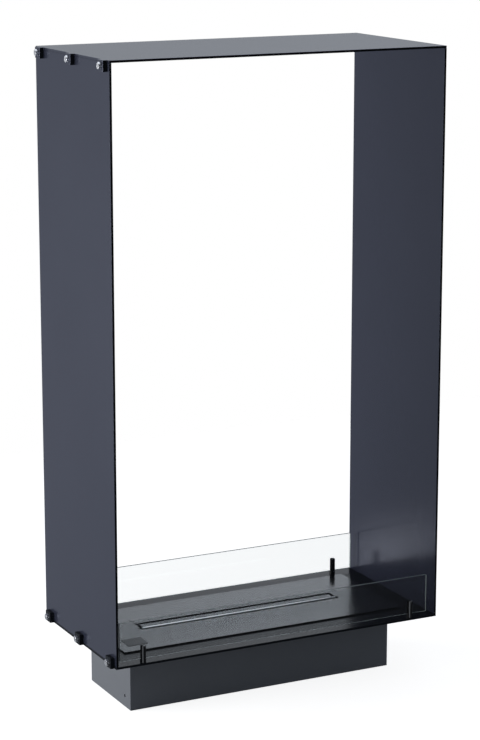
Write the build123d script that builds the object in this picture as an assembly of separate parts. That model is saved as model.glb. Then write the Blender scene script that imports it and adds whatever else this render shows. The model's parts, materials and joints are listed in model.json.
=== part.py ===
from build123d import *
from math import sqrt
import os

# A see-through built-in bioethanol fireplace: an open portrait frame of four flat steel panels,
# with a lift-out burner in its floor, a housing under it and a low glass pane along each open face.
# Millimetres. X runs across the opening, -Y is the front, Z is up, and z = 0 is the housing's underside.

# ---- Frame of four panels
frame_width = 600.0
frame_depth = 298.0
frame_height = 976.0
sheet = 4.0

# ---- Lugs on the left edges of the top and floor panels, three on each, outside the left panel
lug_height = 18.0
lug_depth = 20.0
lug_thickness = 7.0
lug_spacing = 128.0
lug_row_shift = -3.0
lug_edge_radius = 0.8
lugs_each_way = 1

# ---- M6 weld studs, washers and nuts that clamp the lugs
stud_radius = 3.0
stud_hole_clearance = 0.3
stud_tail = 0.8
thread_clearance = 0.05
washer_radius = 5.4
washer_thickness = 0.8
nut_across_flats = 10.0
nut_height = 3.2
nut_chamfer = 0.5

# ---- Burner plate that lies on the floor panel
plate_thickness = 2.5
plate_side_gap = 39.0
plate_front_gap = 56.5
plate_back_gap = 34.5

# ---- Housing that hangs under the floor panel
housing_drop = 103.0
housing_wall = 2.0
flange_thickness = 2.0
housing_side_lap = 16.0
housing_front_lap = 13.5
housing_back_lap = 30.5
flange_width = 18.0
side_hole_radius = 2.5
side_hole_setback = 23.0
side_hole_rise = 19.3

# ---- M5 countersunk screws and nuts that hold the housing's flange to the floor panel
housing_screw_radius = 2.5
housing_screw_length = 12.0
housing_screw_clearance = 0.25
housing_screw_pitch = 195.0
housing_head_radius = 4.8
housing_socket_flats = 3.0
housing_socket_depth = 1.8
housing_nut_flats = 8.0
housing_nut_height = 4.0

# ---- Fuel tank and absorbent wool
tank_clearance = 2.0
tank_wall = 1.5
tank_drop = 85.0
wool_side_gap = 0.5
wool_headroom = 10.0

# ---- Slot in the burner plate, set back from the tank's middle, its collar and its narrow relief cut
slot_end_gap = 33.0
slot_setback = 11.5
slot_width = 34.0
notch_radius = 4.0
notch_setback = 7.0
relief_length = 23.0
relief_width = 1.2
collar_wall = 3.0
collar_recess = 0.2
ledge_width = 4.0
ledge_thickness = 1.5

# ---- Snuffer lid: a flat strip with a round grip rod along its front
lid_thickness = 1.2
lid_edge_gap = 0.7
lid_hook_gap = 8.0
lid_end_gap = 4.0
grip_radius = 1.6
grip_setback = 4.7
grip_flat = 0.1
grip_end_gap = 2.0

# ---- Blank plate stuck to the burner plate
blank_width = 36.0
blank_depth = 33.0
blank_thickness = 0.5
blank_side_gap = 17.5
blank_front_gap = 23.5
blank_corner_radius = 1.0

# ---- Glass panes and the posts that hold them
glass_thickness = 4.0
glass_height = 65.0
glass_side_gap = 9.0
front_glass_shift = -5.4
glass_corner_radius = 1.0
post_radius = 5.0
post_height = 29.3
post_seat = 6.0
post_chamfer = 0.8
post_inset = 49.5
front_post_edge_gap = 0.5
back_post_edge_gap = 14.0
pad_wall = 0.4
pad_base = 1.0
pad_drop = 3.0
pad_end_gap = 0.2
glass_clearance = 0.1

# ---- M4 countersunk screws under the posts, and M3 set screws in their sides
post_screw_radius = 2.0
post_screw_reach = 4.5
post_screw_hole_end = 0.5
post_head_radius = 3.8
post_socket_flats = 2.5
post_socket_depth = 1.4
set_screw_radius = 1.5
set_screw_height = 17.0
set_screw_proud = 0.2
set_socket_flats = 1.5
set_socket_depth = 1.2

# ---- Heights
base = housing_drop
rim = base - flange_thickness
floor_top = base + sheet
frame_top = base + frame_height
plate_top = floor_top + plate_thickness
ledge_top = floor_top - collar_recess
lid_top = ledge_top + lid_thickness

# ---- Plan outlines, as (low x, high x, low y, high y)
half_width = frame_width / 2
half_depth = frame_depth / 2
frame_plan = (-half_width, half_width, -half_depth, half_depth)
plate_plan = (-half_width + plate_side_gap, half_width - plate_side_gap,
              -half_depth + plate_front_gap, half_depth - plate_back_gap)
housing_plan = (plate_plan[0] + housing_side_lap, plate_plan[1] - housing_side_lap,
                plate_plan[2] + housing_front_lap, plate_plan[3] - housing_back_lap)


def inset(plan, gap):
    """The same plan drawn in by one gap on every side."""
    return plan[0] + gap, plan[1] - gap, plan[2] + gap, plan[3] - gap


inside_plan = inset(housing_plan, housing_wall)
cutout_plan = inset(inside_plan, flange_width)
tank_plan = inset(cutout_plan, tank_clearance)
slot_front = (tank_plan[2] + tank_plan[3]) / 2 + slot_setback - slot_width / 2
slot_plan = (tank_plan[0] + tank_wall + slot_end_gap, tank_plan[1] - tank_wall - slot_end_gap,
             slot_front, slot_front + slot_width)


# ---- Small builders
def block(plan, low, high):
    """A box over a plan, between two heights."""
    x0, x1, y0, y1 = plan
    middle = Pos((x0 + x1) / 2, (y0 + y1) / 2, (low + high) / 2)
    return middle * Box(x1 - x0, y1 - y0, high - low)


def rod_x(radius, start, end, y, z):
    return Pos((start + end) / 2, y, z) * Rot(0, 90, 0) * Cylinder(radius, end - start)


def rod_y(radius, start, end, x, z):
    return Pos(x, (start + end) / 2, z) * Rot(90, 0, 0) * Cylinder(radius, end - start)


def rod_z(radius, low, high, x, y):
    return Pos(x, y, (low + high) / 2) * Cylinder(radius, high - low)


def countersink(shank_radius, head_radius, face, upward, x, y):
    """The cone of a 90 degree countersunk head whose wide end lies on a face."""
    depth = head_radius - shank_radius
    if upward:
        return Pos(x, y, face - depth / 2) * Cone(shank_radius, head_radius, depth)
    return Pos(x, y, face + depth / 2) * Cone(head_radius, shank_radius, depth)


def hex_bar(flats, length):
    """A hexagonal bar about Z, centred."""
    return extrude(RegularPolygon(flats / sqrt(3), 6), length / 2, both=True)


def hex_nut(flats, height, bore):
    """A hexagon nut about Z, centred, with its corners chamfered at both ends."""
    rims = Cylinder(flats / sqrt(3), height).edges().filter_by(GeomType.CIRCLE)
    turned = chamfer(rims, nut_chamfer)
    return (hex_bar(flats, height) & turned) - Cylinder(bore, height)


def save(shape, node):
    """Write one sub-part, a solid or a list of separate solids."""
    if isinstance(shape, list):
        shape = Compound([piece.solid() for piece in shape])
    export_step(shape, f"parts/{node}.step")


# ---- Lugs and their fasteners, on the left only
lug_rows = [lug_row_shift + lug_spacing * step for step in range(-lugs_each_way, lugs_each_way + 1)]
top_stud_height = frame_top - lug_height / 2
floor_stud_height = base + lug_height / 2
lug_face = -half_width - lug_thickness
washer_face = lug_face - washer_thickness
nut_face = washer_face - nut_height


def lug(y, low):
    """One lug with its stud hole; the edges of its outer face are rounded."""
    body = block((lug_face, -half_width, y - lug_depth / 2, y + lug_depth / 2), low, low + lug_height)
    body = fillet(body.faces().sort_by(Axis.X)[0].edges(), lug_edge_radius)
    return body - rod_x(stud_radius + stud_hole_clearance, lug_face, -half_width, y, low + lug_height / 2)


def panel_with_lugs(panel_low, lug_low):
    """A flat panel across the frame, with three lugs on its left edge."""
    panel = block(frame_plan, panel_low, panel_low + sheet)
    for y in lug_rows:
        panel += lug(y, lug_low)
    return panel


def side_panel(side):
    """One side panel, on the left (-1) or the right (+1); the right one is welded in place."""
    near, far = sorted((side * (half_width - sheet), side * half_width))
    return block((near, far, -half_depth, half_depth), floor_top, frame_top - sheet)


def lug_fasteners():
    """Studs on the left panel, with their washers and nuts, in the lower and upper rows."""
    studs, washers, nuts = [], [], []
    bore = stud_radius + thread_clearance
    for z in (floor_stud_height, top_stud_height):
        for y in lug_rows:
            studs.append(rod_x(stud_radius, nut_face - stud_tail, -half_width, y, z))
            ring = rod_x(washer_radius, washer_face, lug_face, y, z)
            washers.append(ring - rod_x(bore, washer_face, lug_face, y, z))
            nut = hex_nut(nut_across_flats, nut_height, bore)
            nuts.append(Pos(washer_face - nut_height / 2, y, z) * Rot(0, 90, 0) * nut)
    return studs, washers, nuts


# ---- Screws of the housing's flange: three along the front, three along the back, one at each end
front_row = inside_plan[2] + flange_width / 2
back_row = inside_plan[3] - flange_width / 2
end_column = inside_plan[1] - flange_width / 2
housing_middle = (housing_plan[2] + housing_plan[3]) / 2
flange_columns = (-housing_screw_pitch, 0, housing_screw_pitch)
flange_points = [(x, y) for y in (front_row, back_row) for x in flange_columns]
flange_points += [(-end_column, housing_middle), (end_column, housing_middle)]
housing_screw_hole = housing_screw_radius + housing_screw_clearance


def housing_screw(x, y):
    """A countersunk screw, head up, with a hexagon socket."""
    screw = rod_z(housing_screw_radius, floor_top - housing_screw_length, floor_top, x, y)
    screw += countersink(housing_screw_radius, housing_head_radius, floor_top, True, x, y)
    socket = hex_bar(housing_socket_flats, housing_socket_depth)
    return screw - Pos(x, y, floor_top - housing_socket_depth / 2) * socket


def housing_nut(x, y):
    nut = hex_nut(housing_nut_flats, housing_nut_height, housing_screw_radius + thread_clearance)
    return Pos(x, y, rim - housing_nut_height / 2) * nut


def burner_housing():
    """An open steel box with one small hole in each side."""
    box = block(housing_plan, 0, rim) - block(inside_plan, housing_wall, rim)
    hole_y = housing_plan[2] + side_hole_setback
    return box - rod_x(side_hole_radius, housing_plan[0], housing_plan[1], hole_y, side_hole_rise)


def housing_flange():
    """The flat ring welded on the box's rim, which is screwed to the underside of the floor panel."""
    ring = block(housing_plan, rim, base) - block(cutout_plan, rim, base)
    for x, y in flange_points:
        ring -= rod_z(housing_screw_hole, rim, base, x, y)
    return ring


# ---- Posts: where they stand, and which way their set screws face
post_x = half_width - post_inset
front_post_y = -half_depth + post_radius + front_post_edge_gap
back_post_y = half_depth - post_radius - back_post_edge_gap
post_top = floor_top + post_height
seat_top = floor_top + post_seat
glass_base = seat_top + pad_base
slot_half = glass_thickness / 2 + glass_clearance + pad_wall
post_places = {
    "front_left_post": (-post_x, front_post_y, 1),
    "front_right_post": (post_x, front_post_y, 1),
    "back_left_post": (-post_x, back_post_y, -1),
    "back_right_post": (post_x, back_post_y, -1),
}
set_screw_level = floor_top + set_screw_height
post_screw_end = floor_top + post_screw_reach


def post(x, y, inward):
    """A round post, slotted from the top for the glass, with a tapped foot and a set screw hole."""
    body = Pos(x, y, floor_top + post_height / 2) * Cylinder(post_radius, post_height)
    body = chamfer(body.edges().filter_by(GeomType.CIRCLE).sort_by(Axis.Z)[-1], post_chamfer)
    body -= block((x - post_radius, x + post_radius, y - slot_half, y + slot_half), seat_top, post_top)
    hole_radius = post_screw_radius + thread_clearance
    body -= rod_z(hole_radius, floor_top, post_screw_end + post_screw_hole_end, x, y)
    start, end = sorted((y, y + inward * post_radius))
    return body - rod_y(set_screw_radius + thread_clearance, start, end, x, set_screw_level)


def set_screw(x, y, inward):
    """A headless screw from the slot's wall outwards, with a hexagon socket in its outer end."""
    inner = y + inward * slot_half
    outer = y + inward * (post_radius + set_screw_proud)
    start, end = sorted((inner, outer))
    body = rod_y(set_screw_radius, start, end, x, set_screw_level)
    socket_middle = outer - inward * set_socket_depth / 2
    socket = hex_bar(set_socket_flats, set_socket_depth)
    return body - Pos(x, socket_middle, set_screw_level) * Rot(90, 0, 0) * socket


def post_screw(x, y):
    """A countersunk screw, head down, with a hexagon socket."""
    screw = rod_z(post_screw_radius, base, post_screw_end, x, y)
    screw += countersink(post_screw_radius, post_head_radius, base, False, x, y)
    return screw - Pos(x, y, base + post_socket_depth / 2) * hex_bar(post_socket_flats, post_socket_depth)


def glass_pad(x, y):
    """A U-shaped liner between the pane and the slot."""
    half_length = sqrt(post_radius ** 2 - slot_half ** 2) - pad_end_gap
    outline = (x - half_length, x + half_length, y - slot_half, y + slot_half)
    channel_half = slot_half - pad_wall
    channel = (x - half_length, x + half_length, y - channel_half, y + channel_half)
    top = post_top - pad_drop
    return block(outline, seat_top, top) - block(channel, glass_base, top)


def glass_pane(y, shift):
    """A flat pane with rounded corners, moved sideways by the shift."""
    half_pane = half_width - sheet - glass_side_gap
    outline = (shift - half_pane, shift + half_pane, y - glass_thickness / 2, y + glass_thickness / 2)
    pane = block(outline, glass_base, glass_base + glass_height)
    return fillet(pane.edges().filter_by(Axis.Y), glass_corner_radius)


def floor_panel():
    """The lower panel: a cut-out for the tank, and countersunk holes for posts and housing."""
    panel = panel_with_lugs(base, base)
    panel -= block(cutout_plan, base, floor_top)
    for x, y in flange_points:
        panel -= rod_z(housing_screw_hole, base, floor_top, x, y)
        panel -= countersink(housing_screw_hole, housing_head_radius + housing_screw_clearance,
                             floor_top, True, x, y)
    for x, y, _ in post_places.values():
        hole_radius = post_screw_radius + thread_clearance
        panel -= rod_z(hole_radius, base, floor_top, x, y)
        panel -= countersink(hole_radius, post_head_radius + thread_clearance, base, False, x, y)
    return panel


# ---- Burner: plate, collar, tank and wool, which lift out together
notch_y = slot_plan[2] + notch_setback


def burner_plate():
    """The flat cover plate, with the flame slot, a lifting notch at each end and the relief cut."""
    plate = block(plate_plan, floor_top, plate_top) - block(slot_plan, floor_top, plate_top)
    for x in slot_plan[:2]:
        plate -= rod_z(notch_radius, floor_top, plate_top, x, notch_y)
    relief = (slot_plan[0], slot_plan[0] + relief_width, slot_plan[3], slot_plan[3] + relief_length)
    return plate - block(relief, floor_top, plate_top)


def slot_collar():
    """A ring under the plate around the slot, with a ledge at the front and back for the lid."""
    ledge_bottom = ledge_top - ledge_thickness
    ring = block(inset(slot_plan, -collar_wall), ledge_bottom, floor_top)
    ring -= block(slot_plan, ledge_top, floor_top)
    throat = (slot_plan[0], slot_plan[1], slot_plan[2] + ledge_width, slot_plan[3] - ledge_width)
    return ring - block(throat, ledge_bottom, ledge_top)


tank_floor = base - tank_drop
tank_inside = inset(tank_plan, tank_wall)


def burner_tank():
    """An open tank whose walls stand up through the cut-out to the underside of the plate."""
    return block(tank_plan, tank_floor, floor_top) - block(tank_inside, tank_floor + tank_wall, floor_top)


def absorbent_wool():
    return block(inset(tank_inside, wool_side_gap), tank_floor + tank_wall, base - wool_headroom)


def blank_plate():
    x0 = plate_plan[0] + blank_side_gap
    y0 = plate_plan[2] + blank_front_gap
    plate = block((x0, x0 + blank_width, y0, y0 + blank_depth), plate_top, plate_top + blank_thickness)
    return fillet(plate.edges().filter_by(Axis.Z), blank_corner_radius)


# ---- Snuffer lid
lid_front = slot_plan[2] + lid_edge_gap


def snuffer_lid():
    """The strip that closes the slot; it stops short at the left for a hook."""
    x0 = slot_plan[0] + lid_hook_gap
    x1 = slot_plan[1] - lid_end_gap
    return block((x0, x1, lid_front, slot_plan[3] - lid_edge_gap), ledge_top, lid_top)


def lid_grip_rod():
    """A rod with round ends, flattened a little where it is welded to the strip."""
    y = lid_front + grip_setback + grip_radius
    z = lid_top + grip_radius - grip_flat
    start = slot_plan[0] + grip_end_gap + grip_radius
    end = slot_plan[1] - grip_end_gap - grip_radius
    rod = rod_x(grip_radius, start, end, y, z)
    rod += Pos(start, y, z) * Sphere(grip_radius)
    rod += Pos(end, y, z) * Sphere(grip_radius)
    return rod - block(slot_plan, ledge_top, lid_top)


# ---- Write every sub-part
os.makedirs("parts", exist_ok=True)

save(panel_with_lugs(frame_top - sheet, frame_top - lug_height), "top_panel")
save(floor_panel(), "floor_panel")
save(side_panel(-1), "left_panel")
save(side_panel(1), "right_panel")
studs, washers, nuts = lug_fasteners()
save(studs, "left_studs")
save(washers, "left_washers")
save(nuts, "left_nuts")

save(burner_housing(), "burner_housing")
save(housing_flange(), "housing_flange")
save([housing_screw(x, y) for x, y in flange_points], "housing_screws")
save([housing_nut(x, y) for x, y in flange_points], "housing_nuts")

for name, place in post_places.items():
    save(post(*place), name)
save([post_screw(x, y) for x, y, _ in post_places.values()], "post_screws")
save([set_screw(*place) for place in post_places.values()], "set_screws")
save([glass_pad(x, y) for x, y, _ in post_places.values()], "glass_pads")
save(glass_pane(front_post_y, front_glass_shift), "front_glass")
save(glass_pane(back_post_y, 0), "back_glass")

save(burner_plate(), "burner_plate")
save(slot_collar(), "slot_collar")
save(burner_tank(), "burner_tank")
save(absorbent_wool(), "absorbent_wool")
save(blank_plate(), "blank_plate")
save(snuffer_lid(), "snuffer_lid")
save(lid_grip_rod(), "lid_grip_rod")
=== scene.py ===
# %% [markdown]
# # A see-through bioethanol fireplace
# The real object is an open frame of four flat steel panels. A slot burner lies in its floor, a
# housing hangs under it, and a low glass pane stands along each open face. Its flat, exact shapes
# come from the imported CAD model, so this script keeps them, rounds their edges, gives them
# finishes, and itself models only what is soft or threaded.

# %% Load the imported frame
import json
from math import cos, pi, radians, sin
import random

import bmesh
import bpy
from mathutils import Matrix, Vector, noise


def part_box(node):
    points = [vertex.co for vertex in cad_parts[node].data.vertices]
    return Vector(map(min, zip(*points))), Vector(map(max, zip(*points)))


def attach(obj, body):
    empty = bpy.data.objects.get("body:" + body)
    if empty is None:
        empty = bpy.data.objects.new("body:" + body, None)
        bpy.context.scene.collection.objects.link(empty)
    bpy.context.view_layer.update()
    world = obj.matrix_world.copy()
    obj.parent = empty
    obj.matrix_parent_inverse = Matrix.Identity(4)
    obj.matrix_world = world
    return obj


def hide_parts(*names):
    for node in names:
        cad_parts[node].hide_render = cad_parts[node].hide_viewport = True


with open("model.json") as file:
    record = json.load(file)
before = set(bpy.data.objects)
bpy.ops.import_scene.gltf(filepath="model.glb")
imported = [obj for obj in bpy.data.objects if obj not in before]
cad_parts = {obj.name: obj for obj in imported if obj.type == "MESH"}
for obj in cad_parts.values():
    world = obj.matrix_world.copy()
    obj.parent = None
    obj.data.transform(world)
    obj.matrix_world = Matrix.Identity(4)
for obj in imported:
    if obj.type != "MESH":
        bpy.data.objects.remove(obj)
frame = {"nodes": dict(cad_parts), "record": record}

MM = 0.001
bpy.context.scene.view_settings.view_transform = "Standard"
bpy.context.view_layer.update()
nodes = frame["nodes"]

# %% [markdown]
# ## The camera
# The photograph was taken with a long lens, from the left and a little above. The lens, the place
# and the two angles below were fitted to the seven corners of the frame that show, so the camera
# needs no shift and no aiming by eye. The direction back towards the camera is worked out from
# the two angles, and the camera looks the opposite way.

# %% Camera
CAMERA_LENS = 113.455
CAMERA_PLACE = (-1.72186, -3.41119, 1.39898)
CAMERA_AZIMUTH = radians(-26.7511)
CAMERA_ELEVATION = radians(12.7049)

camera_data = bpy.data.cameras.new("photo_camera")
camera_data.lens = CAMERA_LENS
camera = bpy.data.objects.new("photo_camera", camera_data)
bpy.context.scene.collection.objects.link(camera)
towards_camera = Vector((sin(CAMERA_AZIMUTH) * cos(CAMERA_ELEVATION),
                         -cos(CAMERA_AZIMUTH) * cos(CAMERA_ELEVATION),
                         sin(CAMERA_ELEVATION)))
camera.location = CAMERA_PLACE
camera.rotation_euler = (-towards_camera).to_track_quat("-Z", "Y").to_euler()
bpy.context.scene.camera = camera
print("camera looks along", tuple(round(v, 3) for v in -towards_camera))

# %% [markdown]
# ## Small helpers for node trees
# Every finish is a small tree of nodes. One helper adds a node, sets its properties and fills or
# links its inputs, so that a tree reads from top to bottom. The others wrap the few nodes that
# come back again and again: a sum, a blend, a smooth step from one range to another, and noise.

# %% Node helpers
def add(tree, kind, inputs=None, **properties):
    """Add a node; an input is set to a value, or linked where the value is another socket."""
    made = tree.nodes.new(kind)
    for name, value in properties.items():
        setattr(made, name, value)
    for socket, value in (inputs or {}).items():
        if isinstance(value, bpy.types.NodeSocket):
            tree.links.new(value, made.inputs[socket])
        else:
            made.inputs[socket].default_value = value
    return made


def calculate(tree, operation, *values):
    """One Math node's result."""
    return add(tree, "ShaderNodeMath", dict(enumerate(values)), operation=operation).outputs[0]


def blend(tree, amount, first, second):
    """Mix two plain values."""
    return add(tree, "ShaderNodeMix", {0: amount, 2: first, 3: second}).outputs[0]


def blend_colours(tree, amount, first, second):
    """Mix two colours; the sockets of a Mix node for colours are the last of their names."""
    made = add(tree, "ShaderNodeMix", {0: amount, 6: first, 7: second}, data_type="RGBA")
    return made.outputs[2]


def remap(tree, value, low, high, to_low=0.0, to_high=1.0):
    """A value moved smoothly from one range to another, and held at its ends."""
    made = add(tree, "ShaderNodeMapRange", {0: value, 1: low, 2: high, 3: to_low, 4: to_high},
               interpolation_type="SMOOTHSTEP")
    return made.outputs[0]


print("node helpers are ready")

# %% Helpers for noise
NOISE_MIDDLE = 0.5


def noise_value(tree, place, scale, detail):
    """A Noise texture's value at a place, which swings around its middle."""
    made = add(tree, "ShaderNodeTexNoise", {"Vector": place, "Scale": scale, "Detail": detail})
    return made.outputs["Fac"]


def swing(tree, value, amount, middle):
    """A middle value that a noise moves up and down."""
    centred = calculate(tree, "SUBTRACT", value, NOISE_MIDDLE)
    return calculate(tree, "MULTIPLY_ADD", centred, amount, middle)


def shade(tree, colour, tone):
    """A colour made lighter or darker."""
    made = add(tree, "ShaderNodeVectorMath", {0: colour, "Scale": tone}, operation="SCALE")
    return made.outputs[0]


print("noise helpers are ready")

# %% [markdown]
# ## Node groups
# An effect that more than one finish uses is a node group with named sockets. It is built once,
# and placed in each material with that finish's own values.

# %% Group helpers
def start_group(name, inputs, outputs):
    """A node group with named sockets; returns it with its input and output nodes' sockets."""
    group = bpy.data.node_groups.new(name, "ShaderNodeTree")
    for socket, (kind, default) in inputs.items():
        made = group.interface.new_socket(socket, in_out="INPUT", socket_type="NodeSocket" + kind)
        made.default_value = default
    for socket, kind in outputs.items():
        group.interface.new_socket(socket, in_out="OUTPUT", socket_type="NodeSocket" + kind)
    return group, add(group, "NodeGroupInput").outputs, add(group, "NodeGroupOutput").inputs


def place_group(tree, group, **inputs):
    """Put a group into a material, with its own values."""
    made = add(tree, "ShaderNodeGroup", node_tree=group)
    for name, value in inputs.items():
        made.inputs[name.replace("_", " ")].default_value = value
    return made.outputs


print("group helpers are ready")

# %% [markdown]
# ## The studio
# The photograph shows the object on pure white, so the world is white where the camera looks at
# it, straight or through a pane. What the steel mirrors is less even: a sky of soft light that
# fades towards the left, and a dim room below the horizon and at the front. Mirrors find three
# more things: a brighter patch high at the back right, which the burner plate shows, a bright
# ceiling, which catches round tops, and a soft light low at the front left, which draws a line
# down each post.

# %% What a mirror sees
BELOW_HORIZON = 0.35
SKY_RISE = (0.03, 0.37)
SKY_LEFT = (-0.5, 0.1)
SKY_LEFT_DIM = 0.1
WINDOW_ACROSS = (0.3, 0.43)
WINDOW_RISE = (0.15, 0.3)
WINDOW_GAIN = 0.45
FRONT_DIM = (-0.3, 0.3)
FRONT_LEVEL = 0.12
OVERHEAD = (0.4, 0.7)
STRIP_LAMP_WAY = (-0.45, -0.83, -0.32)
STRIP_LAMP_SPREAD = (0.93, 0.985)
STRIP_LAMP_LEVEL = 1.1

world = bpy.data.worlds.new("studio")
world.use_nodes = True
bpy.context.scene.world = world
sky = world.node_tree
sky.nodes.clear()
direction = add(sky, "ShaderNodeTexCoord").outputs["Generated"]
way = add(sky, "ShaderNodeSeparateXYZ", {0: direction}).outputs
side_level = remap(sky, way["X"], *SKY_LEFT, SKY_LEFT_DIM)
around = blend(sky, remap(sky, way["Z"], *SKY_RISE), BELOW_HORIZON, side_level)
window = calculate(sky, "MULTIPLY", remap(sky, way["X"], *WINDOW_ACROSS, 0.0, WINDOW_GAIN),
                   remap(sky, way["Z"], *WINDOW_RISE))
with_window = calculate(sky, "MULTIPLY_ADD", around, window, around)
front = calculate(sky, "MAXIMUM", remap(sky, way["Y"], *FRONT_DIM, FRONT_LEVEL),
                  remap(sky, way["Z"], *OVERHEAD))
near_lamp = add(sky, "ShaderNodeVectorMath", {0: direction, 1: STRIP_LAMP_WAY},
                operation="DOT_PRODUCT").outputs["Value"]
strip_lamp = remap(sky, near_lamp, *STRIP_LAMP_SPREAD, 0.0, STRIP_LAMP_LEVEL)
mirrored = calculate(sky, "MULTIPLY_ADD", with_window, front, strip_lamp)
print("mirrored studio:", len(sky.nodes), "nodes")

# %% [markdown]
# ## Which ray sees what
# Light Path tells how a ray came here. Its depths count bounces in whole numbers, so one half
# parts the rays that have bounced from those that haven't. A ray that comes through a pane counts
# as direct, unless it has met a rough surface or a mirror. Rough surfaces get only a weak, cool
# fill, so the dark steel keeps its own tone.

# %% World
FILL_LIGHT = 0.24
WHITE = (1, 1, 1, 1)
COOL = (0.84, 0.89, 0.965, 1)
FIRST_BOUNCE = 0.5

ray = add(sky, "ShaderNodeLightPath").outputs
no_rough = calculate(sky, "LESS_THAN", ray["Diffuse Depth"], FIRST_BOUNCE)
no_mirror = calculate(sky, "LESS_THAN", ray["Glossy Depth"], FIRST_BOUNCE)
through = calculate(sky, "MULTIPLY", ray["Is Transmission Ray"], no_rough)
straight_through = calculate(sky, "MULTIPLY", through, no_mirror)
mirror_through = calculate(sky, "SUBTRACT", through, straight_through)
in_mirror = calculate(sky, "MAXIMUM", ray["Is Glossy Ray"], mirror_through)
seen_direct = calculate(sky, "MAXIMUM", ray["Is Camera Ray"], straight_through)
strength = blend(sky, seen_direct, blend(sky, in_mirror, FILL_LIGHT, mirrored), 1.0)
tint = blend_colours(sky, seen_direct, COOL, WHITE)
backdrop = add(sky, "ShaderNodeBackground", {"Color": tint, "Strength": strength})
add(sky, "ShaderNodeOutputWorld", {"Surface": backdrop.outputs[0]})
print("world: fill light", FILL_LIGHT)

# %% [markdown]
# ## The lamp
# One large soft lamp stands to the left and a little behind, which makes the left faces the
# brightest and leaves the front dim. The camera doesn't see the lamp itself.

# %% Lamp
KEY_PLACE = (-2.6, 1.1, 0.5)
KEY_AIM = (0, 0, 0.6)
KEY_WIDTH = 2.4
KEY_HEIGHT = 1.4
KEY_WATTS = 62

lamp_data = bpy.data.lights.new("left_softbox", "AREA")
lamp_data.shape = "RECTANGLE"
lamp_data.size = KEY_WIDTH
lamp_data.size_y = KEY_HEIGHT
lamp_data.energy = KEY_WATTS
lamp = bpy.data.objects.new("left_softbox", lamp_data)
bpy.context.scene.collection.objects.link(lamp)
lamp.location = KEY_PLACE
lamp.rotation_euler = (Vector(KEY_AIM) - Vector(KEY_PLACE)).to_track_quat("-Z", "Y").to_euler()
lamp.visible_camera = False
print("one soft lamp of", KEY_WATTS, "W")

# %% [markdown]
# ## The floor
# A plain pale sheet lies just under the housing and catches its shadow.

# %% Floor sheet
FLOOR_HALF_SIZE = 1.6
FLOOR_DROP = 0.2 * MM

floor_mesh = bpy.data.meshes.new("floor")
corners = [(x * FLOOR_HALF_SIZE, y * FLOOR_HALF_SIZE, -FLOOR_DROP)
           for x, y in ((-1, -1), (1, -1), (1, 1), (-1, 1))]
floor_mesh.from_pydata(corners, [], [(0, 1, 2, 3)])
floor = bpy.data.objects.new("floor", floor_mesh)
bpy.context.scene.collection.objects.link(floor)
print("floor is", 2 * FLOOR_HALF_SIZE, "m wide")

# %% [markdown]
# ## Where the floor shows
# The sheet thins out to nothing at its rim, so no line shows where it ends. The photograph's
# steel mirrors only a lit strip of floor behind the frame, so a ray that has met a mirror sees no
# more than that strip. On the right it ends in a slanted line, and it fades out to the left.

# %% Floor mask
FLOOR_RIM = 0.8
STRIP_FRONT = (0.25, 0.45)
STRIP_BACK = (0.55, 0.8)
STRIP_SLANT = 1.69
STRIP_END = (0.6, 0.64)
STRIP_FADE = (0.1, 0.56)

pale = bpy.data.materials.new("pale_floor")
pale.use_nodes = True
tree = pale.node_tree
tree.nodes.clear()
place = add(tree, "ShaderNodeTexCoord").outputs["Object"]
spot = add(tree, "ShaderNodeSeparateXYZ", {0: place}).outputs
reach = calculate(tree, "MAXIMUM", calculate(tree, "ABSOLUTE", spot["X"]),
                  calculate(tree, "ABSOLUTE", spot["Y"]))
whole = remap(tree, reach, FLOOR_HALF_SIZE * FLOOR_RIM, FLOOR_HALF_SIZE, 1.0, 0.0)
slanted = calculate(tree, "MULTIPLY_ADD", spot["X"], STRIP_SLANT, spot["Y"])
along = calculate(tree, "MULTIPLY", remap(tree, slanted, *STRIP_END, 1.0, 0.0),
                  remap(tree, slanted, *STRIP_FADE))
across = calculate(tree, "MULTIPLY", remap(tree, spot["Y"], *STRIP_FRONT),
                   remap(tree, spot["Y"], *STRIP_BACK, 1.0, 0.0))
strip = calculate(tree, "MULTIPLY", along, across)
ray = add(tree, "ShaderNodeLightPath").outputs
after_mirror = calculate(tree, "GREATER_THAN", ray["Glossy Depth"], FIRST_BOUNCE)
shown = blend(tree, after_mirror, whole, strip)
print("floor mask:", len(tree.nodes), "nodes")

# %% [markdown]
# ## How the floor is lit
# The sheet is diffuse, and glows towards the camera just enough to reach the backdrop's white
# where no shadow falls. Seen through a pane it glows a little less, and in a mirror less again.

# %% Floor material
FLOOR_COLOUR = (0.8, 0.8, 0.8, 1)
FLOOR_GLOW = 0.86
PANE_GLOW = 0.8
STRIP_GLOW = 0.64

to_camera = calculate(tree, "MULTIPLY", ray["Is Camera Ray"], FLOOR_GLOW)
through_pane = calculate(tree, "MULTIPLY", ray["Is Transmission Ray"], PANE_GLOW)
to_mirror = calculate(tree, "MULTIPLY", after_mirror, STRIP_GLOW)
glow_level = calculate(tree, "MAXIMUM", calculate(tree, "MAXIMUM", to_camera, through_pane),
                       to_mirror)
glow = add(tree, "ShaderNodeEmission", {"Color": WHITE, "Strength": glow_level})
matt = add(tree, "ShaderNodeBsdfDiffuse", {"Color": FLOOR_COLOUR})
lit = add(tree, "ShaderNodeAddShader", {0: matt.outputs[0], 1: glow.outputs[0]})
clear = add(tree, "ShaderNodeBsdfTransparent")
mixed = add(tree, "ShaderNodeMixShader", {0: shown, 1: clear.outputs[0], 2: lit.outputs[0]})
add(tree, "ShaderNodeOutputMaterial", {"Surface": mixed.outputs[0]})
floor_mesh.materials.append(pale)
print("floor glow:", FLOOR_GLOW, "in the open,", PANE_GLOW, "through a pane")
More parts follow.
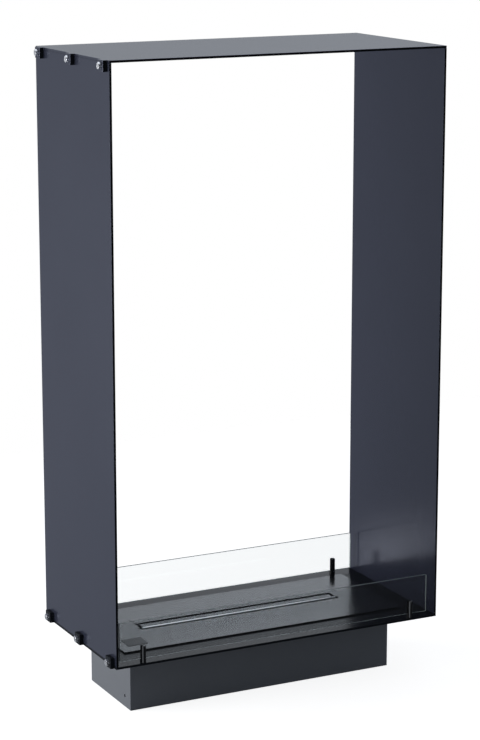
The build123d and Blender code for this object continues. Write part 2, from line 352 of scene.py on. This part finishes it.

# %% [markdown]
# ## Powder coat
# The steel is sprayed with a fine metallic anthracite powder and baked, which leaves tiny soft
# pebbles, a slightly uneven gloss and a very faint cloudiness over a wide panel. A picture of it
# would not stand a close look, so it is built from noise of the right size, in millimetres. The
# group gives a colour, a roughness and a height, and each coated part places it with its own
# values. Where a part asks for it, the group also paints shade: the faces that look to the front
# and back take a near-black colour that stands in for the shade they fall in.

# %% The powder coat group
CLOUD_SCALE = 5.0
CLOUD_DETAIL = 3.0
SPECK_SCALE = 2600.0
SPECK_DETAIL = 1.0
PEBBLE_DETAIL = 2.0
SHADED_FACING = (0.9, 0.97)

coat_group, given, result = start_group(
    "powder_coat",
    {"Colour": ("Color", (0.06, 0.065, 0.085, 1)), "Cut Colour": ("Color", (0.02, 0.02, 0.03, 1)),
     "Cut Amount": ("Float", 0.0), "Cloudiness": ("Float", 0.08), "Speckle": ("Float", 0.1),
     "Pebble Size": ("Float", 1.1), "Roughness": ("Float", 0.45), "Unevenness": ("Float", 0.05)},
    {"Colour": "Color", "Roughness": "Float", "Height": "Float"})
where = add(coat_group, "ShaderNodeTexCoord").outputs
clouds = noise_value(coat_group, where["Object"], CLOUD_SCALE, CLOUD_DETAIL)
specks = noise_value(coat_group, where["Object"], SPECK_SCALE, SPECK_DETAIL)
per_metre = calculate(coat_group, "DIVIDE", 1 / MM, given["Pebble Size"])
pebbles = noise_value(coat_group, where["Object"], per_metre, PEBBLE_DETAIL)
cloudy = swing(coat_group, clouds, given["Cloudiness"], 1.0)
tone = swing(coat_group, specks, given["Speckle"], cloudy)
# Painted shade: faces that look along Y, to the front or back, get a near-black colour for the
# shade they fall in.
facing = add(coat_group, "ShaderNodeSeparateXYZ", {0: where["Normal"]}).outputs["Y"]
faces_front_or_back = remap(coat_group, calculate(coat_group, "ABSOLUTE", facing), *SHADED_FACING)
front_back_shade = calculate(coat_group, "MULTIPLY", faces_front_or_back, given["Cut Amount"])
coloured = blend_colours(coat_group, front_back_shade, shade(coat_group, given["Colour"], tone),
                         given["Cut Colour"])
uneven = swing(coat_group, clouds, given["Unevenness"], given["Roughness"])
coat_group.links.new(coloured, result["Colour"])
coat_group.links.new(uneven, result["Roughness"])
coat_group.links.new(pebbles, result["Height"])
print("group powder_coat:", [s.name for s in coat_group.interface.items_tree])

# %% [markdown]
# ## Coated finishes
# A finish is a Principled shader. Its group drives colour, roughness and a bump of a few microns,
# and what is the same all over, such as Metallic, is set on the shader itself. The frame, the
# floor panel and the burner plate are smooth and glossy, and the last two are nearly black. The
# housing, which nobody sees once it is built in, is a paler grey, rougher and pebbled.

# %% A finish that a group drives
def group_finish(name, group, relief, sockets=None, **values):
    """A material with a group's colour, roughness and bump; other sockets get plain values."""
    material = bpy.data.materials.new(name)
    material.use_nodes = True
    tree = material.node_tree
    shader = tree.nodes["Principled BSDF"]
    for socket, value in (sockets or {}).items():
        shader.inputs[socket].default_value = value
    surface = place_group(tree, group, **values)
    bump = add(tree, "ShaderNodeBump", {"Height": surface["Height"], "Distance": relief})
    tree.links.new(surface["Colour"], shader.inputs["Base Color"])
    tree.links.new(surface["Roughness"], shader.inputs["Roughness"])
    tree.links.new(bump.outputs[0], shader.inputs["Normal"])
    return material


print("finishes can take a group")

# %% Coats
SMOOTH_RELIEF = 0.001 * MM
PEBBLED_RELIEF = 0.012 * MM

# The frame's front and back faces get painted shade: a near-black colour in place of the shade they
# fall in.
frame_finish = group_finish("frame_coat", coat_group, SMOOTH_RELIEF, {"Metallic": 0.5},
                            Colour=(0.055, 0.062, 0.098, 1), Roughness=0.2,
                            Cut_Colour=(0.006, 0.008, 0.011, 1), Cut_Amount=1.0)
plate_finish = group_finish("plate_coat", coat_group, SMOOTH_RELIEF,
                            {"Metallic": 0.5, "Specular IOR Level": 0.85},
                            Colour=(0.01, 0.012, 0.016, 1), Roughness=0.2)
floor_finish = group_finish("floor_coat", coat_group, SMOOTH_RELIEF, {"Specular IOR Level": 0.07},
                            Colour=(0.012, 0.014, 0.018, 1), Roughness=0.22)
housing_finish = group_finish("housing_coat", coat_group, PEBBLED_RELIEF,
                              {"Specular IOR Level": 0.3},
                              Colour=(0.195, 0.208, 0.232, 1), Roughness=0.5, Speckle=0.3)
print("coats:", [f.name for f in (frame_finish, plate_finish, floor_finish, housing_finish)])

# %% [markdown]
# ## Fine grain
# Brushed, turned, plated and moulded surfaces all have a fine grain, which runs one way or is
# even. One group gives it: noise with its own number of cells per metre along X, Y and Z, which
# moves the tone, the roughness and the height together. The stretch alone sets the grain's size,
# so the noise's own scale is 1.

# %% The fine grain group
GRAIN_SCALE = 1.0
GRAIN_DETAIL = 4.0

grain_group, given, result = start_group(
    "fine_grain",
    {"Colour": ("Color", (0.5, 0.5, 0.5, 1)), "Stretch": ("Vector", (20.0, 900.0, 900.0)),
     "Tone Swing": ("Float", 0.2), "Roughness": ("Float", 0.3), "Roughness Swing": ("Float", 0.15)},
    {"Colour": "Color", "Roughness": "Float", "Height": "Float"})
where = add(grain_group, "ShaderNodeTexCoord").outputs["Object"]
stretched = add(grain_group, "ShaderNodeVectorMath", {0: where, 1: given["Stretch"]},
                operation="MULTIPLY").outputs[0]
grain = noise_value(grain_group, stretched, GRAIN_SCALE, GRAIN_DETAIL)
tone = swing(grain_group, grain, given["Tone Swing"], 1.0)
gloss = swing(grain_group, grain, given["Roughness Swing"], given["Roughness"])
grain_group.links.new(shade(grain_group, given["Colour"], tone), result["Colour"])
grain_group.links.new(gloss, result["Roughness"])
grain_group.links.new(grain, result["Height"])
print("group fine_grain:", [s.name for s in grain_group.interface.items_tree])

# %% [markdown]
# ## Bright metals
# The tank and the collar are brushed stainless steel: fine scratches run along the long side, so
# the noise is stretched along X. The lid's grip rod is brighter steel with shallower scratches.
# Nuts, washers and screws are zinc plated, with a slightly milky, uneven shine.

# %% Metal finishes
METAL = {"Metallic": 1.0}
SCRATCH_DEPTH = 0.006 * MM
FINE_SCRATCH_DEPTH = 0.004 * MM
PLATED_GRAIN = (350.0, 350.0, 350.0)

stainless_finish = group_finish("stainless", grain_group, SCRATCH_DEPTH, METAL,
                                Colour=(0.58, 0.59, 0.61, 1), Roughness=0.36)
rod_finish = group_finish("polished_rod", grain_group, FINE_SCRATCH_DEPTH, METAL,
                          Colour=(0.9, 0.91, 0.93, 1), Roughness=0.36)
zinc_finish = group_finish("zinc", grain_group, FINE_SCRATCH_DEPTH, METAL,
                           Colour=(0.84, 0.85, 0.88, 1), Roughness=0.27, Stretch=PLATED_GRAIN)
print("metal finishes:", stainless_finish.name, rod_finish.name, zinc_finish.name)

# %% [markdown]
# ## Blackened steel, silicone and the blank plate
# The posts are turned from steel and blackened, which leaves fine rings from the lathe. The
# silicone liners are matt. The blank plate is a thin dark film. All three are plain dark
# surfaces that differ in gloss and grain.

# %% Dark finishes
LATHE_RINGS = (60.0, 60.0, 2400.0)
LATHE_DEPTH = 0.002 * MM
SILICONE_GRAIN = (900.0, 900.0, 900.0)
SILICONE_DEPTH = 0.02 * MM
FILM_GRAIN = (700.0, 700.0, 700.0)
FILM_DEPTH = 0.01 * MM

post_finish = group_finish("black_steel", grain_group, LATHE_DEPTH, {"Specular IOR Level": 1.0},
                           Colour=(0.01, 0.011, 0.013, 1), Roughness=0.14, Roughness_Swing=0.06,
                           Stretch=LATHE_RINGS)
silicone_finish = group_finish("silicone", grain_group, SILICONE_DEPTH, {"Specular IOR Level": 0.3},
                               Colour=(0.03, 0.03, 0.03, 1), Roughness=0.7, Roughness_Swing=0.1,
                               Stretch=SILICONE_GRAIN)
film_finish = group_finish("dark_film", grain_group, FILM_DEPTH, {"Specular IOR Level": 0.3},
                           Colour=(0.02, 0.021, 0.026, 1), Roughness=0.4, Roughness_Swing=0.1,
                           Stretch=FILM_GRAIN)
print("dark finishes:", post_finish.name, silicone_finish.name, film_finish.name)

# %% [markdown]
# ## Glass
# The panes are clear toughened glass. Light bends in them, so the shader has full transmission and
# a real index, with a breath of roughness where fingers and steam have been. In the photograph the
# front pane dims what stands behind it more than the back pane does, so it has a faint tint.
# Shadow rays pass straight through: without that the path tracer would need far more samples to
# light what stands behind a pane. The narrow edges are seamed with a stone, which leaves them grey
# and matt, so they have a finish of their own.

# %% Clear glass
GLASS_INDEX = 1.5
BACK_TINT = (0.975, 0.987, 0.985, 1)
FRONT_TINT = (0.84, 0.86, 0.865, 1)
SMEAR_SCALE = 9.0
SMEAR_DETAIL = 4.0
SMEARED = (0.55, 0.8)
SMEAR_ROUGHNESS = 0.02


def clear_glass(name, tint):
    """A clear glass finish that lets shadow rays pass."""
    material = bpy.data.materials.new(name)
    material.use_nodes = True
    tree = material.node_tree
    shader = tree.nodes["Principled BSDF"]
    shader.inputs["Base Color"].default_value = tint
    shader.inputs["Transmission Weight"].default_value = 1.0
    shader.inputs["IOR"].default_value = GLASS_INDEX
    place = add(tree, "ShaderNodeTexCoord").outputs["Object"]
    smears = noise_value(tree, place, SMEAR_SCALE, SMEAR_DETAIL)
    dulled = remap(tree, smears, *SMEARED, 0.0, SMEAR_ROUGHNESS)
    tree.links.new(dulled, shader.inputs["Roughness"])
    clear = add(tree, "ShaderNodeBsdfTransparent")
    is_shadow = add(tree, "ShaderNodeLightPath").outputs["Is Shadow Ray"]
    mixed = add(tree, "ShaderNodeMixShader",
                {0: is_shadow, 1: shader.outputs[0], 2: clear.outputs[0]})
    tree.links.new(mixed.outputs[0], tree.nodes["Material Output"].inputs["Surface"])
    return material


back_glass_finish = clear_glass("clear_glass", BACK_TINT)
front_glass_finish = clear_glass("front_clear_glass", FRONT_TINT)
print("glass index", GLASS_INDEX)

# %% Seamed edge
SEAMED_GRAIN = (600.0, 600.0, 600.0)
SEAMED_DEPTH = 0.01 * MM

seamed_finish = group_finish("seamed_edge", grain_group, SEAMED_DEPTH,
                             Colour=(0.2, 0.24, 0.235, 1), Roughness=0.45, Roughness_Swing=0.1,
                             Stretch=SEAMED_GRAIN)
print("edge finish:", seamed_finish.name)

# %% [markdown]
# ## Dressing the CAD nodes
# Each node takes the finish of its material slot in the record. Three differ from their slot: the
# floor panel, the grip rod and the front pane. A pane's wide faces look along Y, so the direction
# of a face tells whether it is glass or a seamed edge.

# %% Finishes by slot
FINISHES = {"frame_coat": frame_finish, "plate_coat": plate_finish, "housing_coat": housing_finish,
            "stainless": stainless_finish, "zinc": zinc_finish, "black_steel": post_finish,
            "silicone": silicone_finish, "dark_film": film_finish, "clear_glass": back_glass_finish}
OWN_FINISHES = {"floor_panel": floor_finish, "lid_grip_rod": rod_finish,
                "front_glass": front_glass_finish}
PANES = ("front_glass", "back_glass")
EDGE_NORMAL = 0.5

slots = {part["node"]: part["material_slot"] for part in frame["record"]["subparts"]}
for name, node in nodes.items():
    finish = OWN_FINISHES.get(name, FINISHES.get(slots[name]))
    if finish:
        node.data.materials.clear()
        node.data.materials.append(finish)
for name in PANES:
    pane = nodes[name].data
    pane.materials.append(seamed_finish)
    for polygon in pane.polygons:
        polygon.material_index = 0 if abs(polygon.normal.y) > EDGE_NORMAL else 1
print("finished nodes:", sum(slots[name] in FINISHES for name in nodes))

# %% [markdown]
# ## Rounded edges
# The CAD edges are perfectly sharp, which no sheared and coated sheet is. A Weld modifier joins
# the faces' shared corners, a Bevel rounds the edges by a few tenths of a millimetre, and a
# Weighted Normal lets the wide faces alone set the normals, so they stay flat to the light. The
# mesh's points stay as they were imported.

# %% Edge rounds
EDGE_ROUNDS = {"top_panel": 0.5, "floor_panel": 0.3, "left_panel": 0.5, "right_panel": 0.5,
               "burner_housing": 0.4, "front_glass": 0.3, "back_glass": 0.3,
               "snuffer_lid": 0.15, "blank_plate": 0.1}
ROUND_SEGMENTS = 2
WELD_DISTANCE = 0.01 * MM
SHARP_ANGLE = radians(40)


def round_edges(node, width):
    """Weld, bevel and even out the normals of a CAD node, without a change to its points."""
    for polygon in node.data.polygons:
        polygon.use_smooth = True
    weld = node.modifiers.new("weld", "WELD")
    weld.merge_threshold = WELD_DISTANCE
    bevel = node.modifiers.new("edge_round", "BEVEL")
    bevel.width = width
    bevel.segments = ROUND_SEGMENTS
    bevel.limit_method = "ANGLE"
    bevel.angle_limit = SHARP_ANGLE
    bevel.face_strength_mode = "FSTR_ALL"
    even = node.modifiers.new("flat_faces", "WEIGHTED_NORMAL")
    even.use_face_influence = True


for name, width in EDGE_ROUNDS.items():
    round_edges(nodes[name], width * MM)
print("rounded edges on", len(EDGE_ROUNDS), "nodes")

# %% [markdown]
# ## Meshes made in the script
# The threaded studs and the loose fibres are both tubes: rings of points joined by four-sided
# faces, and closed at both ends. A second helper turns any finished mesh into a piece, with its
# material, and hangs it on the body that carries it.

# %% Mesh helpers
def join_rings(bm, rings):
    """Join each ring of points to the next one, and close both ends."""
    for near, far in zip(rings, rings[1:]):
        for k in range(len(near)):
            after = (k + 1) % len(near)
            bm.faces.new((near[k], near[after], far[after], far[k]))
    bm.faces.new(rings[0])
    bm.faces.new(rings[-1])


def finish_mesh(name, bm, finish, body, smooth=True):
    """Turn a bmesh into a piece with its finish, riding on its body."""
    bmesh.ops.recalc_face_normals(bm, faces=bm.faces)
    mesh = bpy.data.meshes.new(name)
    bm.to_mesh(mesh)
    bm.free()
    mesh.materials.append(finish)
    for polygon in mesh.polygons:
        polygon.use_smooth = smooth
    piece = bpy.data.objects.new(name, mesh)
    bpy.context.scene.collection.objects.link(piece)
    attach(piece, body)
    return piece


print("mesh helpers are ready")

# %% [markdown]
# ## Threaded studs
# The panels are clamped by M6 weld studs, whose last threads stand out past the nuts. The CAD
# studs are plain rods, which is right for a collision shape and wrong for the eye. A thread is a
# ridge that climbs one pitch a turn, so each stud is a grid of points on a cylinder whose radius
# follows a zigzag along that climb, with a cone at its tip.

# %% A threaded stud
THREAD_RADIUS = 3.0 * MM
THREAD_DEPTH = 0.55 * MM
THREAD_PITCH = 1.0 * MM
THREADED_LENGTH = 8.0 * MM
TIP_CONE = 0.7 * MM
STUD_SIDES = 28
RINGS_PER_PITCH = 6


def thread_radius(along, angle, to_tip):
    """The stud's radius at a point: a zigzag that climbs with the angle, trimmed back near the tip.
    """
    climb = (along / THREAD_PITCH - angle / (2 * pi)) % 1.0
    ridge = THREAD_RADIUS - THREAD_DEPTH * abs(2 * climb - 1)
    return min(ridge, THREAD_RADIUS - TIP_CONE + to_tip)


def add_stud(bm, root, tip, y, z):
    """One stud along -X; its root and tip are distances to the left of the frame's middle."""
    count = round(THREADED_LENGTH / THREAD_PITCH * RINGS_PER_PITCH)
    stations = [root] + [tip - THREADED_LENGTH * (1 - i / count) for i in range(count + 1)]
    rings = []
    for x in stations:
        ring = []
        for k in range(STUD_SIDES):
            angle = 2 * pi * k / STUD_SIDES
            radius = THREAD_RADIUS - THREAD_DEPTH if x == root else thread_radius(x, angle, tip - x)
            ring.append(bm.verts.new((-x, y + radius * cos(angle), z + radius * sin(angle))))
        rings.append(ring)
    join_rings(bm, rings)


print("a stud has", STUD_SIDES, "sides")

# %% The six studs
STUD_ROWS = (-131 * MM, -3 * MM, 125 * MM)
STUD_HEIGHTS = (112 * MM, 1070 * MM)

stud_low, stud_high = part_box("left_studs")
bm = bmesh.new()
for y in STUD_ROWS:
    for z in STUD_HEIGHTS:
        add_stud(bm, -stud_high.x, -stud_low.x, y, z)
studs = finish_mesh("threaded_studs", bm, zinc_finish, "frame", smooth=False)
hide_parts("left_studs")
print(studs.name, len(studs.data.vertices), "points")

# %% [markdown]
# ## Mineral wool
# The tank is packed with mineral wool, which soaks up the fuel so that it can't slosh. It shows
# only when the lid or the burner is lifted. It is a pale, felted block with soft corners, a lumpy
# top and loose fibres. Cloth simulation suits a skin with a filling, and this has no skin, so
# a rounded box is pushed in by noise of two sizes, and loose fibres are laid over its top.

# %% The wool's surface
WOOL_CORNER = 9 * MM
LUMP_SIZE = 26 * MM
LUMP_DEPTH = 3.5 * MM
TUFT_SIZE = 5 * MM
TUFT_DEPTH = 1.4 * MM

wool_low, wool_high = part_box("absorbent_wool")
wool_middle = (wool_low + wool_high) / 2
wool_half = (wool_high - wool_low) / 2


def rounded(point):
    """Where a point of the plain box lies on the box with round edges, and its way outward."""
    signs = [1 if p >= 0 else -1 for p in point]
    over = Vector([max(0.0, abs(p) - (half - WOOL_CORNER)) for p, half in zip(point, wool_half)])
    core = Vector([min(abs(p), half - WOOL_CORNER) for p, half in zip(point, wool_half)])
    way = over.normalized()
    surface = core + way * WOOL_CORNER
    return (Vector([s * v for s, v in zip(signs, surface)]),
            Vector([s * v for s, v in zip(signs, way)]))


def unit_noise(point):
    """Smooth noise, moved from the range -1 to 1 to the range 0 to 1."""
    return 0.5 + 0.5 * noise.noise(point)


def wool_point(point):
    """The felted surface at a point of the box: under the rounded box, by noise of two sizes."""
    surface, way = rounded(point)
    lump = LUMP_DEPTH * unit_noise(surface / LUMP_SIZE)
    tuft = TUFT_DEPTH * unit_noise(surface / TUFT_SIZE)
    return wool_middle + surface - way * (lump + tuft)


print("wool box", [round(2 * half / MM, 1) for half in wool_half], "mm")

# %% The wool's grid
WOOL_STEP = 4 * MM

bm = bmesh.new()
counts = [round(2 * half / WOOL_STEP) for half in wool_half]
wool_vertices = {}


def wool_vertex(key):
    """One shared vertex of the box grid, at whole steps along X, Y and Z."""
    if key not in wool_vertices:
        place = Vector([half * (2 * k / count - 1)
                        for k, count, half in zip(key, counts, wool_half)])
        wool_vertices[key] = bm.verts.new(wool_point(place))
    return wool_vertices[key]


for axis in range(3):
    across, up = [a for a in range(3) if a != axis]
    for level in (0, counts[axis]):
        for i in range(counts[across]):
            for j in range(counts[up]):
                corners = []
                for di, dj in ((0, 0), (1, 0), (1, 1), (0, 1)):
                    key = [0, 0, 0]
                    key[axis], key[across], key[up] = level, i + di, j + dj
                    corners.append(wool_vertex(tuple(key)))
                bm.faces.new(corners)
print("wool grid", counts, len(wool_vertices), "points")

# %% [markdown]
# ## The wool's finish
# Strands lie in bent bands, so a wave texture is warped by noise before it mixes a dark and a
# pale tone. A little sheen gives the block its dusty rim.

# %% Wool finish
WOOL_ROUGHNESS = 0.95
WOOL_SHEEN = 0.3
WOOL_DARK = (0.46, 0.43, 0.36, 1)
WOOL_PALE = (0.74, 0.72, 0.66, 1)
WARP = {"Scale": 60.0, "Detail": 2.0}
WARP_REACH = 20 * MM
STRANDS = {"Scale": 260.0, "Distortion": 6.0, "Detail": 3.0, "Detail Scale": 2.0}
STRAND_DEPTH = 0.4 * MM

wool_finish = bpy.data.materials.new("mineral_wool")
wool_finish.use_nodes = True
tree = wool_finish.node_tree
shader = tree.nodes["Principled BSDF"]
shader.inputs["Roughness"].default_value = WOOL_ROUGHNESS
shader.inputs["Sheen Weight"].default_value = WOOL_SHEEN
where = add(tree, "ShaderNodeTexCoord").outputs["Object"]
warp = add(tree, "ShaderNodeTexNoise", {"Vector": where, **WARP}).outputs["Color"]
bent = add(tree, "ShaderNodeVectorMath", {0: warp, 1: (WARP_REACH,) * 3, 2: where},
           operation="MULTIPLY_ADD").outputs[0]
strands = add(tree, "ShaderNodeTexWave", {"Vector": bent, **STRANDS},
              bands_direction="DIAGONAL").outputs["Fac"]
bump = add(tree, "ShaderNodeBump", {"Height": strands, "Distance": STRAND_DEPTH})
tree.links.new(blend_colours(tree, strands, WOOL_DARK, WOOL_PALE), shader.inputs["Base Color"])
tree.links.new(bump.outputs[0], shader.inputs["Normal"])
wool = finish_mesh("wool_batt", bm, wool_finish, "burner")
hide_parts("absorbent_wool")
print(wool.name, len(wool.data.polygons), "faces")

# %% [markdown]
# ## Loose fibres
# Each fibre is a short walk over the wool's top that turns a little at every step, so it lies as
# a gentle curve, and it lifts off the wool in its middle. It starts more than two steps inside
# the wool's edge and ends early where it crosses it, so each has three points or more. The draws
# are seeded, so every run lays the same fibres.

# %% A fibre's tube
FIBRE_SIDES = 3


def add_tube(bm, points, radius):
    """A thin tube along points that run roughly level."""
    rings = []
    for i, point in enumerate(points):
        ahead = points[min(i + 1, len(points) - 1)] - points[max(i - 1, 0)]
        aside = ahead.cross(Vector((0, 0, 1))).normalized()
        above = aside.cross(ahead).normalized()
        angles = [2 * pi * k / FIBRE_SIDES for k in range(FIBRE_SIDES)]
        rings.append([bm.verts.new(point + radius * (cos(a) * aside + sin(a) * above))
                      for a in angles])
    join_rings(bm, rings)


print("a fibre has", FIBRE_SIDES, "sides")

# %% The fibres
FIBRES = 320
FIBRE_RADIUS = 0.16 * MM
FIBRE_POINTS = 9
FIBRE_STEP = 5 * MM
FIBRE_TURN = 0.5
FIBRE_ARCH = 1.2 * MM
FIBRE_MARGIN = 14 * MM
SEED = 7

draw = random.Random(SEED)
bm = bmesh.new()
for _ in range(FIBRES):
    x = draw.uniform(-1, 1) * (wool_half.x - FIBRE_MARGIN)
    y = draw.uniform(-1, 1) * (wool_half.y - FIBRE_MARGIN)
    heading = draw.uniform(0, 2 * pi)
    arch = draw.uniform(0.0, FIBRE_ARCH)
    line = []
    for i in range(FIBRE_POINTS):
        lift = Vector((0, 0, arch * sin(pi * i / (FIBRE_POINTS - 1))))
        line.append(wool_point(Vector((x, y, wool_half.z))) + lift)
        heading += draw.uniform(-FIBRE_TURN, FIBRE_TURN)
        x += FIBRE_STEP * cos(heading)
        y += FIBRE_STEP * sin(heading)
        if abs(x) > wool_half.x or abs(y) > wool_half.y:
            break
    add_tube(bm, line, FIBRE_RADIUS)
fibres = finish_mesh("wool_fibres", bm, wool_finish, "burner")
print(fibres.name, len(fibres.data.polygons), "faces")
